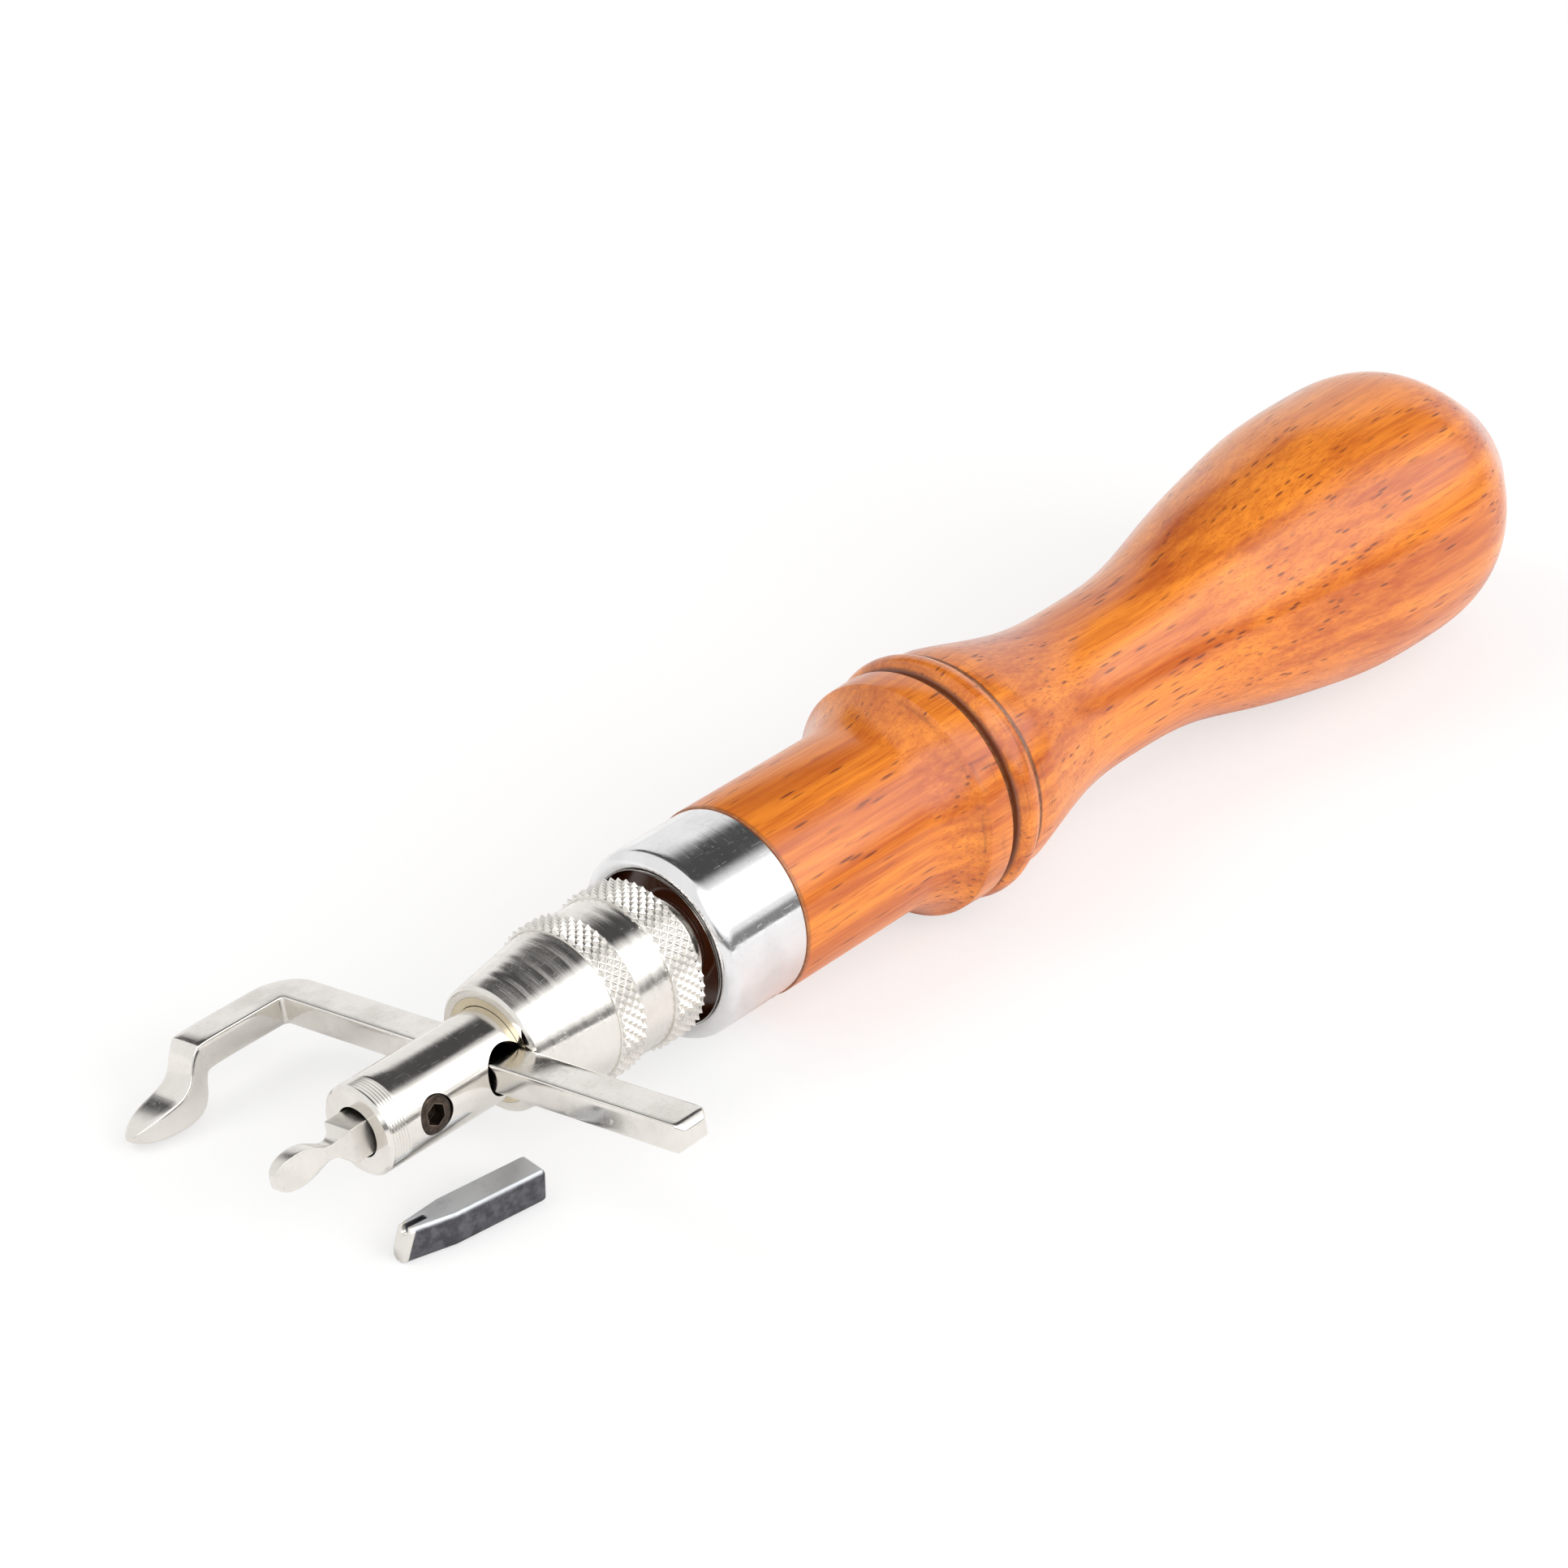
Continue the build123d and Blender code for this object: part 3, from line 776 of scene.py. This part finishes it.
class CREASER_OT_nut(bpy.types.Operator):
    """Turn the clamping nut, and knurl its two bands into diamonds"""

    bl_idname = "creaser.nut"
    bl_label = "Clamping nut"

    def execute(self, context):
        points = tool_points("clamping_nut")
        rear = max(x for x, r in points)
        face = min(x for x, r in points)
        crest = max(r for x, r in points)
        bore = min(r for x, r in points)
        rear_w, neck_w, front_w, neck_r, nose_r, seat_r = 3.95, 4.15, 3.3, 8.05, 6.6, 5.52
        root = crest - sizes().knurl_depth / MM
        under = root - 0.25
        neck_x = rear - rear_w
        front_x = neck_x - neck_w
        cone_x = front_x - front_w
        seat_x = face + 1.52
        outline = [(rear, bore), (rear, 6.6), (rear - 0.35, 6.9), (rear - 0.35, under),
                   (neck_x + 0.1, under), (neck_x + 0.1, neck_r - 0.1)]
        outline += ridged((neck_x, neck_r), (front_x, neck_r), 0.4, 0.028)
        outline += [(front_x - 0.1, neck_r - 0.1), (front_x - 0.1, under),
                    (cone_x + 0.1, under), (cone_x + 0.05, neck_r)]
        nose_chamfer = 0.3
        outline += ridged((cone_x, neck_r), (face + nose_chamfer, nose_r), 0.38, 0.032)
        outline += [(face, nose_r - nose_chamfer), (face, seat_r), (seat_x, seat_r), (seat_x, bore),
                    (rear, bore)]
        nut = turned("nut_body", outline, 128)
        round_edges(nut, 0.08, 2, 40)
        smooth(nut, 35)
        # The nut's nose gets painted shade inside (hollow).
        dress(nut, "nut", "clamping_nut",
              nickel("nut_nickel", looks(), 1.5, 2.2, smooth_at=0.12, relief=0.5,
                     hollow=(face, seat_r + 0.1)), TOOL)
        metal = nickel("knurl_nickel", looks(), 0.1, 2.0, smooth_at=0.22, relief=0.2)
        self.knurl("nut_rear_knurl", neck_x, rear, root, crest, 6, metal)
        self.knurl("nut_front_knurl", cone_x, front_x, root, crest, 5, metal)
        return {"FINISHED"}

    def knurl(self, name, x0, x1, root, crest, rows, metal):
        """A ring whose outside is a net of small pyramids with grooves between them."""
        slope = 0.28
        inner = root - 0.9
        columns = 2 * sizes().knurls_round
        start, stop = x0 + slope, x1 - slope
        outline = [(x0, inner), (x0, root - 0.05)]
        outline += [(start + (stop - start) * i / rows, root) for i in range(rows + 1)]
        outline += [(x1, root - 0.05), (x1, inner), (x0, inner)]
        ring = turned(name, outline, columns)
        step_x = (stop - start) / rows
        step_turn = FULL_TURN / columns

        def crest_point(v):
            """True for every second crossing of the net."""
            if abs(math.hypot(v.co.y, v.co.z) - root) > 0.01:
                return False
            row = round((v.co.x - start) / step_x)
            column = round((math.atan2(v.co.y, v.co.z) % FULL_TURN) / step_turn)
            return (row + column) % 2 == 0

        edit(ring)
        pick(ring, "VERT", crest_point)
        grow = crest / root
        bpy.ops.transform.resize(value=(1, grow, grow), center_override=(0, 0, 0))
        pick(ring, "FACE", lambda f: (abs(f.normal.x) < 0.75
                                      and math.hypot(f.center.y, f.center.z) > root))
        bpy.ops.mesh.quads_convert_to_tris(quad_method="SHORTEST_DIAGONAL")
        bpy.ops.object.mode_set(mode="OBJECT")
        round_edges(ring, 0.035, 1, 25)
        smooth(ring, 20)
        dress(ring, "nut", None, metal, TOOL)


class CREASER_OT_thrust_ring(bpy.types.Operator):
    """Finish the ring in the nut's nose as dull yellow metal"""

    bl_idname = "creaser.thrust_ring"
    bl_label = "Thrust ring"

    def execute(self, context):
        metal = plated("ring_metal", TOOL, (0.74, 0.66, 0.5, 1), (0.46, 0.38, 0.26, 1), 0.22, 0.3,
                       lines=0.4, per_mm=3.0)
        ring = frame["nodes"]["thrust_ring"]
        ring.data.materials.clear()
        ring.data.materials.append(metal)
        return {"FINISHED"}


class CREASER_OT_guide(bpy.types.Operator):
    """Bend the guide from a bar, and forge its end into a foot"""

    bl_idname = "creaser.guide"
    bl_label = "Guide"

    def execute(self, context):
        rear, front, low, top = -33.5, -37.5, -1.4, 1.6
        right, inner, outer = -29.3, 25.46, 29.46
        fillet = 0.5
        middle = (rear + front) / 2
        half_up = (low + top) / 2
        blank_end = right + 2.0
        square_end = right + 0.7
        dome = (0.62, 1, 0.55)
        start_clean()
        bpy.ops.mesh.primitive_cube_add(
            size=1, location=(middle, (square_end + blank_end) / 2, half_up),
            scale=(rear - front, blank_end - square_end, top - low))
        guide = bpy.context.object
        guide.name = "bent_guide"
        bpy.ops.object.transform_apply(location=True, rotation=True, scale=True)
        edit(guide)
        pick(guide, "FACE", lambda f: f.normal.y < -0.9)
        extrude_to((0, right - square_end, 0), dome, 0.0, (middle, right, half_up))
        pick(guide, "FACE", lambda f: f.normal.y > 0.9)
        bend_start = inner - fillet
        whole_runs, run = 4, 10.0
        for step in whole_runs * [run] + [bend_start - blank_end - whole_runs * run]:
            extrude_to((0, step, 0))
        bpy.ops.mesh.spin(steps=8, angle=math.radians(90), axis=(0, 0, -1),
                          center=(front - fillet, bend_start, 0))
        ankle = -47.2
        bpy.ops.object.mode_set(mode="OBJECT")
        reached = min(v.co.x for v in guide.data.vertices)
        bpy.ops.object.mode_set(mode="EDIT")
        w = outer - inner
        drawn_out([
            ((reached, top), (reached, low), w), ((-43.0, top), (-43.0, low), w),
            ((ankle, top), (ankle + 0.1, low), w), ((-48.35, 1.42), (-47.75, -1.75), w),
            ((-49.1, 0.55), (-48.05, -2.75), 0.94 * w), ((-49.6, -0.9), (-48.15, -3.9), 0.94 * w),
            ((-50.1, -2.0), (-48.7, -5.05), 1.0 * w), ((-51.3, -2.8), (-50.2, -5.85), 1.08 * w),
            ((-52.8, -3.1), (-52.1, -5.95), 1.06 * w), ((-54.2, -3.4), (-53.9, -5.95), 0.96 * w),
            ((-55.5, -3.8), (-55.4, -5.78), 0.78 * w), ((-56.6, -4.25), (-56.5, -5.45), 0.5 * w),
            ((-57.2, -4.65), (-57.2, -5.1), 0.2 * w)], (inner + outer) / 2)
        bpy.ops.object.mode_set(mode="OBJECT")
        close_up(guide)
        edge = sizes().bar_edge / MM
        apply(guide, "BEVEL", width=edge, segments=3, limit_method="ANGLE",
              angle_limit=math.radians(40), harden_normals=False)
        apply(guide, "SUBSURF", levels=1, render_levels=1)
        smooth(guide, 40)
        dress(guide, "guide", "guide",
              nickel("guide_nickel", looks(), 0.0, 2.0, smooth_at=0.09), TOOL)
        return {"FINISHED"}


class CREASER_OT_grub_screw(bpy.types.Operator):
    """Turn the set screw and broach its hexagon socket"""

    bl_idname = "creaser.grub_screw"
    bl_label = "Set screw"

    def execute(self, context):
        tip, head, radius, socket_depth, socket_r = -1.82, -4.45, 1.96, 1.4, 1.155
        screw = cylinder("set_screw", (SCREW_X, tip, 0), (SCREW_X, head, 0), radius, 48)
        round_edges(screw, 0.28, 3, 60)
        key = cylinder("key", (SCREW_X, head + socket_depth, 0), (SCREW_X, head - 1, 0),
                       socket_r, 6)
        cut_away(screw, key)
        smooth(screw, 35)
        dress(screw, "grub_screw", "grub_screw", oxide_material(), TOOL)
        return {"FINISHED"}


class CREASER_OT_tip(bpy.types.Operator):
    """Draw the creasing tip down from its square shank to a neck and an oval blade"""

    bl_idname = "creaser.tip"
    bl_label = "Creasing tip"

    def execute(self, context):
        shank, back, shoulder = 3.6, -40.0, -52.73
        half = shank / 2
        start_clean()
        bpy.ops.mesh.primitive_cube_add(size=1, location=((back + shoulder) / 2, 0, 0),
                                        scale=(back - shoulder, shank, shank))
        tip = bpy.context.object
        tip.name = "drawn_tip"
        bpy.ops.object.transform_apply(location=True, rotation=True, scale=True)
        round_edges(tip, 0.14, 2, 60)
        edit(tip)
        pick(tip, "FACE", lambda f: f.normal.x < -0.9)
        drawn_out([
            ((shoulder, half), (shoulder, -half), shank),
            ((-52.86, 1.55), (-52.86, -1.55), 3.1), ((-53.2, 1.1), (-53.2, -1.1), 2.1),
            ((-53.75, 0.82), (-53.75, -0.78), 1.6), ((-54.4, 0.76), (-54.4, -0.66), 1.45),
            ((-55.0, 0.95), (-55.0, -0.68), 1.45), ((-55.8, 1.5), (-55.8, -0.95), 1.6),
            ((-56.9, 1.95), (-56.9, -1.3), 1.75), ((-58.0, 2.1), (-58.0, -1.5), 1.8),
            ((-59.1, 2.0), (-59.1, -1.5), 1.7), ((-60.0, 1.7), (-60.0, -1.3), 1.5),
            ((-60.6, 1.25), (-60.6, -0.9), 1.2), ((-60.95, 0.8), (-60.95, -0.4), 0.7)], 0.0)
        bpy.ops.object.mode_set(mode="OBJECT")
        close_up(tip)
        apply(tip, "SUBSURF", levels=2, render_levels=2)
        smooth(tip, 60)
        dress(tip, "tip", "creasing_tip",
              nickel("tip_nickel", looks(), 0.0, 2.0, worn=0.5, smooth_at=0.2), TOOL)
        return {"FINISHED"}


class CREASER_OT_spare(bpy.types.Operator):
    """Mill the spare cutter, taper its nose and drill its groove"""

    bl_idname = "creaser.spare"
    bl_label = "Spare cutter"

    def execute(self, context):
        long, wide = 16.2, 3.6
        half = long / 2
        taper, nose_w, chamfer, end_round = 5.6, 1.7, 0.38, 0.55
        groove_z, groove_r = 2.95, 0.5
        start_clean()
        bpy.ops.mesh.primitive_cube_add(size=1, location=(taper / 2, 0, wide / 2),
                                        scale=(long - taper, wide, wide))
        spare = bpy.context.object
        spare.name = "spare_bit"
        bpy.ops.object.transform_apply(location=True, rotation=True, scale=True)
        edit(spare)
        pick(spare, "FACE", lambda f: f.normal.x < -0.9)
        extrude_to((-taper, 0, 0), (1, nose_w / wide, 1), 0.0, (-half, 0, wide / 2))
        bpy.ops.object.mode_set(mode="OBJECT")
        close_up(spare)
        corner = spare.data.vertices
        edit(spare)
        pick(spare, "EDGE", lambda e: abs(corner[e.vertices[0]].co.x - corner[e.vertices[1]].co.x) > 1)
        bpy.ops.mesh.bevel(offset=chamfer, segments=1, affect="EDGES")
        bpy.ops.object.mode_set(mode="OBJECT")
        corner = spare.data.vertices
        edit(spare)
        pick(spare, "EDGE", lambda e: min(corner[v].co.x for v in e.vertices) > half - 0.01)
        bpy.ops.mesh.bevel(offset=end_round, segments=3, affect="EDGES")
        bpy.ops.object.mode_set(mode="OBJECT")
        close_up(spare)
        slope_normal = Vector((-(wide + 0.6), 0, 1.6)).normalized()
        edit(spare, "ALL")
        bpy.ops.mesh.bisect(plane_co=(-half - 0.3, 0, 0.4), plane_no=slope_normal,
                            use_fill=True, clear_outer=True, clear_inner=False)
        bpy.ops.object.mode_set(mode="OBJECT")
        close_up(spare)
        hole = cylinder("groove", (-half - 2, 0, groove_z), (-half + 3.2, 0, groove_z),
                        groove_r, 24)
        hole.scale = (1, 0.9, 1.1)
        cut_away(spare, hole)
        round_edges(spare, sizes().spare_edge / MM, 2, 20)
        smooth(spare, 30)
        dress(spare, "spare", "spare_cutter", spare_material(looks()), SPARE)
        return {"FINISHED"}


# ---------------------------------------------------------------- the stage

def soft_light(name, place, aim, size, power, tone=(1, 1, 1)):
    """An area lamp at a place that looks at a point."""
    start_clean()
    bpy.ops.object.light_add(type="AREA", location=place)
    lamp = bpy.context.object
    lamp.name = name
    lamp.data.shape = "DISK"
    lamp.data.size = size
    lamp.data.energy = power
    lamp.data.color = tone
    lamp.visible_glossy = False
    lamp.rotation_euler = (Vector(aim) - Vector(place)).to_track_quat("-Z", "Y").to_euler()
    return lamp


def world_light():
    """A white room with a dark panel overhead, a bright front and a dark skirting there.

    Mirror rays see all three. The plain light is even, apart from the bright front.
    """
    world = bpy.data.worlds.new("studio")
    bpy.context.scene.world = world
    world.use_nodes = True
    n = Nodes(world.node_tree)
    back = world.node_tree.nodes["Background"]
    where = n.add("SeparateXYZ", Vector=n.add("TexCoord").outputs["Generated"])
    across, depth, height = where.outputs
    far_edge = n.math("ADD", depth, n.math("MULTIPLY", across, 2.0))
    panel = n.math("MULTIPLY", n.ramp(far_edge, 1.78, 1.54), n.ramp(depth, -0.30, -0.08))
    panel = n.math("MULTIPLY", panel, n.ramp(height, 0.2, 0.45))
    panel = n.math("MULTIPLY", panel, n.ramp(across, 0.10, 0.24))
    near_floor = n.math("MULTIPLY", n.ramp(height, 0.22, 0.13), n.ramp(height, -0.10, 0.0))
    skirting = n.math("MULTIPLY", near_floor, n.ramp(depth, -0.25, -0.45))
    window = n.math("MULTIPLY", n.ramp(depth, -0.28, -0.45), n.ramp(height, 0.24, 0.40))
    room = n.math("ADD", 1.0, n.math("MULTIPLY", window, 1.6))
    room = n.math("SUBTRACT", room, n.math("MULTIPLY", panel, 0.92), clamp=False)
    room = n.math("SUBTRACT", room, n.math("MULTIPLY", skirting, 0.72), clamp=False)
    path = n.add("LightPath")
    mirror = n.math("MULTIPLY", path.outputs["Is Glossy Ray"], room)
    even = n.math("ADD", 0.62, n.math("MULTIPLY", window, 1.0))
    plain = n.math("MULTIPLY", n.math("SUBTRACT", 1.0, path.outputs["Is Glossy Ray"]), even)
    lit = n.math("ADD", mirror, plain)
    n.put(back.inputs["Strength"], n.math("MAXIMUM", lit, path.outputs["Is Camera Ray"]))
    back.inputs["Color"].default_value = (1, 1, 1, 1)


def floor_material():
    """Plain pale floor that shows white where nothing shades it, and a light shadow."""
    material = bpy.data.materials.new("pale_floor")
    material.use_nodes = True
    n = Nodes(material.node_tree)
    shader = material.node_tree.nodes["Principled BSDF"]
    shader.inputs["Base Color"].default_value = (0.93, 0.925, 0.92, 1)
    shader.inputs["Roughness"].default_value = 0.9
    shader.inputs["Specular IOR Level"].default_value = 0.0
    glow = n.add("Emission", Color=(1, 1, 1, 1), Strength=1.0)
    here = n.add("Mapping", Vector=n.add("TexCoord").outputs["Object"])
    reach = n.add("VectorMath", operation="LENGTH", inputs_by_number={0: here.outputs[0]})
    far = n.ramp(reach.outputs["Value"], 0.2, 0.6, 0.62, 1.0)
    seen = n.math("MULTIPLY", n.add("LightPath").outputs["Is Camera Ray"], far)
    both = n.add("MixShader", inputs_by_number={0: seen, 1: shader.outputs[0], 2: glow.outputs[0]})
    n.put(material.node_tree.nodes["Material Output"].inputs["Surface"], both.outputs[0])
    return material


class CREASER_OT_stage(bpy.types.Operator):
    """Set up the floor, the lamps and the camera"""

    bl_idname = "creaser.stage"
    bl_label = "Stage"

    def execute(self, context):
        start_clean()
        bpy.ops.mesh.primitive_plane_add(size=6, location=(0, 0, 0))
        floor = bpy.context.object
        floor.name = "floor"
        floor.data.materials.append(floor_material())
        soft_light("key", (-0.55, 0.45, 0.95), (0, 0, 0), 0.6, 3.0, (1.0, 0.985, 0.96))
        soft_light("fill", (0.15, -0.95, 0.42), (0, 0, 0), 0.7, 5.2)
        world_light()
        self.camera()
        context.scene.view_settings.view_transform = "Standard"
        return {"FINISHED"}

    def camera(self):
        """The camera, level across, looking down on the tool from its front right."""
        place = Vector((-0.28494, -0.23439, 0.22565))
        target = Vector((-0.01115, 0.01263, 0.0120))
        bpy.ops.object.camera_add(location=place)
        camera = bpy.context.object
        camera.name = "camera"
        camera.rotation_euler = (target - place).to_track_quat("-Z", "Y").to_euler()
        camera.data.lens = 93.168
        camera.data.sensor_width = 36
        camera.data.clip_start = 0.01
        bpy.context.scene.camera = camera


class CREASER_PT_panel(bpy.types.Panel):
    """Lists the creaser's pieces and settings"""

    bl_idname = "CREASER_PT_panel"
    bl_label = "Edge creaser"
    bl_space_type = "VIEW_3D"
    bl_region_type = "UI"
    bl_category = "Creaser"

    def draw(self, context):
        layout = self.layout
        for settings in (context.scene.creaser_looks, context.scene.creaser_sizes):
            for name in settings.__annotations__:
                layout.prop(settings, name)
        for step in STEPS:
            layout.operator(step.bl_idname)


STEPS = (CREASER_OT_handle, CREASER_OT_ferrule, CREASER_OT_spindle, CREASER_OT_nut,
         CREASER_OT_thrust_ring, CREASER_OT_guide, CREASER_OT_grub_screw, CREASER_OT_tip,
         CREASER_OT_spare, CREASER_OT_stage)
CLASSES = (CreaserLooks, CreaserSizes, *STEPS, CREASER_PT_panel)


def register():
    for cls in CLASSES:
        bpy.utils.register_class(cls)
    bpy.types.Scene.creaser_looks = bpy.props.PointerProperty(type=CreaserLooks)
    bpy.types.Scene.creaser_sizes = bpy.props.PointerProperty(type=CreaserSizes)


def unregister():
    del bpy.types.Scene.creaser_looks
    del bpy.types.Scene.creaser_sizes
    for cls in reversed(CLASSES):
        bpy.utils.unregister_class(cls)


def main():
    register()
    bpy.ops.creaser.handle()
    bpy.ops.creaser.ferrule()
    bpy.ops.creaser.spindle()
    bpy.ops.creaser.nut()
    bpy.ops.creaser.thrust_ring()
    bpy.ops.creaser.guide()
    bpy.ops.creaser.grub_screw()
    bpy.ops.creaser.tip()
    bpy.ops.creaser.spare()
    bpy.ops.creaser.stage()


if __name__ == "__main__":
    main()
